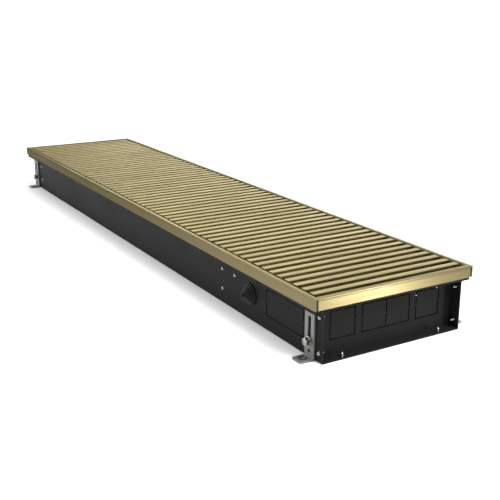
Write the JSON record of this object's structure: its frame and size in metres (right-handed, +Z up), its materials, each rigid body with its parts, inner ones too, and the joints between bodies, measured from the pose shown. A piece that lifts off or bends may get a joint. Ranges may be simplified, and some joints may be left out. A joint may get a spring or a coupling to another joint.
{
  "type": "trench convector heater",
  "caption": "Long black sheet-steel trough for a floor channel, with a heat exchanger and fan inside, a gold frame and a roll-up grille of cross slats, on adjustable feet.",
  "frame": {"origin": "middle of the trough's footprint on the floor", "axes": "+X along the trough towards the connection end with the cable grommet, +Y across it away from the grommet's side, +Z up to the grille"},
  "size_m": [1.203, 0.275, 0.091],
  "materials": {
    "body_sheet": "satin powder coat",
    "frame_gold": "brushed, gold anodised",
    "slat_gold": "satin, light gold anodised",
    "zinc_steel": "zinc-plated sheet",
    "bright_steel": "bright nickel-plated fasteners",
    "black_rubber": "matt rubber",
    "copper": "drawn copper tube",
    "fin_aluminium": "rolled aluminium foil sheet",
    "brass": "turned brass",
    "grey_plastic": "moulded light grey plastic",
    "block_plastic": "moulded ivory plastic",
    "motor_black": "black cast motor can"
  },
  "bodies": {
    "trough": {"trough_shell": "body_sheet", "end_plate_near": "body_sheet", "end_plate_far": "body_sheet", "frame_side_front": "frame_gold", "frame_side_rear": "frame_gold", "frame_end_near": "frame_gold", "frame_end_far": "frame_gold", "frame_corner_keys": "zinc_steel", "grille_rest_strips": "black_rubber", "cable_grommet": "black_rubber", "end_plate_screws": "bright_steel", "bottom_screws": "bright_steel", "wall_screws": "bright_steel", "foot_bolts": "bright_steel", "foot_washers": "bright_steel", "foot_weld_nuts": "zinc_steel", "foot_rivets": "bright_steel", "exchanger_tubes": "copper", "exchanger_fins": "fin_aluminium", "exchanger_brackets": "zinc_steel", "flow_connector": "brass", "return_connector": "brass", "air_vent": "brass", "fan_scroll": "zinc_steel", "fan_cutoff": "zinc_steel", "fan_end_plates": "zinc_steel", "fan_brackets": "zinc_steel", "fan_motor": "motor_black", "fan_bearing": "brass", "terminal_box": "grey_plastic", "terminal_lid": "grey_plastic", "terminal_block": "block_plastic", "terminal_screws": "bright_steel"},
    "rotor": {"fan_rotor": "fin_aluminium", "motor_shaft": "bright_steel", "rotor_hub": "black_rubber"},
    "foot_near_front": {"foot_near_front": "zinc_steel", "bush_near_front": "black_rubber"},
    "foot_near_rear": {"foot_near_rear": "zinc_steel", "bush_near_rear": "black_rubber"},
    "foot_far_front": {"foot_far_front": "zinc_steel", "bush_far_front": "black_rubber"},
    "foot_far_rear": {"foot_far_rear": "zinc_steel", "bush_far_rear": "black_rubber"},
    "grille": {"grille_slats": "slat_gold", "grille_sleeves": "black_rubber", "grille_ties": "zinc_steel"},
    "roll_01": {"roll_slat_01": "slat_gold"},
    "roll_02": {"roll_slat_02": "slat_gold"},
    "roll_03": {"roll_slat_03": "slat_gold"},
    "roll_04": {"roll_slat_04": "slat_gold"},
    "roll_05": {"roll_slat_05": "slat_gold"},
    "roll_06": {"roll_slat_06": "slat_gold"},
    "roll_07": {"roll_slat_07": "slat_gold"},
    "roll_08": {"roll_slat_08": "slat_gold"},
    "roll_09": {"roll_slat_09": "slat_gold"},
    "roll_10": {"roll_slat_10": "slat_gold"},
    "roll_11": {"roll_slat_11": "slat_gold"},
    "roll_12": {"roll_slat_12": "slat_gold"}
  },
  "joints": [
    {"name": "adjust_near_front", "type": "slide", "parent": "trough", "child": "foot_near_front", "axis": [0, 0, -1], "range_m": [0, 0.03]},
    {"name": "adjust_near_rear", "type": "slide", "parent": "trough", "child": "foot_near_rear", "axis": [0, 0, -1], "range_m": [0, 0.03]},
    {"name": "adjust_far_front", "type": "slide", "parent": "trough", "child": "foot_far_front", "axis": [0, 0, -1], "range_m": [0, 0.03]},
    {"name": "adjust_far_rear", "type": "slide", "parent": "trough", "child": "foot_far_rear", "axis": [0, 0, -1], "range_m": [0, 0.03]},
    {"name": "grille_lift", "type": "slide", "parent": "trough", "child": "grille", "axis": [0, 0, 1], "range_m": [0, 0.1]},
    {"name": "roll_up_01", "type": "hinge", "parent": "grille", "child": "roll_01", "pos_m": [0.353, 0, 0.086], "axis": [0, -1, 0], "range_deg": [0, 25]},
    {"name": "roll_up_02", "type": "hinge", "parent": "roll_01", "child": "roll_02", "pos_m": [0.37233, 0, 0.086], "axis": [0, -1, 0], "range_deg": [0, 25]},
    {"name": "roll_up_03", "type": "hinge", "parent": "roll_02", "child": "roll_03", "pos_m": [0.39167, 0, 0.086], "axis": [0, -1, 0], "range_deg": [0, 25]},
    {"name": "roll_up_04", "type": "hinge", "parent": "roll_03", "child": "roll_04", "pos_m": [0.411, 0, 0.086], "axis": [0, -1, 0], "range_deg": [0, 25]},
    {"name": "roll_up_05", "type": "hinge", "parent": "roll_04", "child": "roll_05", "pos_m": [0.43033, 0, 0.086], "axis": [0, -1, 0], "range_deg": [0, 25]},
    {"name": "roll_up_06", "type": "hinge", "parent": "roll_05", "child": "roll_06", "pos_m": [0.44967, 0, 0.086], "axis": [0, -1, 0], "range_deg": [0, 25]},
    {"name": "roll_up_07", "type": "hinge", "parent": "roll_06", "child": "roll_07", "pos_m": [0.469, 0, 0.086], "axis": [0, -1, 0], "range_deg": [0, 25]},
    {"name": "roll_up_08", "type": "hinge", "parent": "roll_07", "child": "roll_08", "pos_m": [0.48833, 0, 0.086], "axis": [0, -1, 0], "range_deg": [0, 25]},
    {"name": "roll_up_09", "type": "hinge", "parent": "roll_08", "child": "roll_09", "pos_m": [0.50767, 0, 0.086], "axis": [0, -1, 0], "range_deg": [0, 25]},
    {"name": "roll_up_10", "type": "hinge", "parent": "roll_09", "child": "roll_10", "pos_m": [0.527, 0, 0.086], "axis": [0, -1, 0], "range_deg": [0, 25]},
    {"name": "roll_up_11", "type": "hinge", "parent": "roll_10", "child": "roll_11", "pos_m": [0.54633, 0, 0.086], "axis": [0, -1, 0], "range_deg": [0, 25]},
    {"name": "roll_up_12", "type": "hinge", "parent": "roll_11", "child": "roll_12", "pos_m": [0.56567, 0, 0.086], "axis": [0, -1, 0], "range_deg": [0, 25]},
    {"name": "fan_spin", "type": "hinge", "parent": "trough", "child": "rotor", "pos_m": [0, -0.062, 0.038], "axis": [1, 0, 0], "continuous": true}
  ],
  "couplings": [
    {"joint": "roll_up_02", "follows": "roll_up_01", "ratio": 1},
    {"joint": "roll_up_03", "follows": "roll_up_01", "ratio": 1},
    {"joint": "roll_up_04", "follows": "roll_up_01", "ratio": 1},
    {"joint": "roll_up_05", "follows": "roll_up_01", "ratio": 1},
    {"joint": "roll_up_06", "follows": "roll_up_01", "ratio": 1},
    {"joint": "roll_up_07", "follows": "roll_up_01", "ratio": 1},
    {"joint": "roll_up_08", "follows": "roll_up_01", "ratio": 1},
    {"joint": "roll_up_09", "follows": "roll_up_01", "ratio": 1},
    {"joint": "roll_up_10", "follows": "roll_up_01", "ratio": 1},
    {"joint": "roll_up_11", "follows": "roll_up_01", "ratio": 1},
    {"joint": "roll_up_12", "follows": "roll_up_01", "ratio": 1}
  ]
}
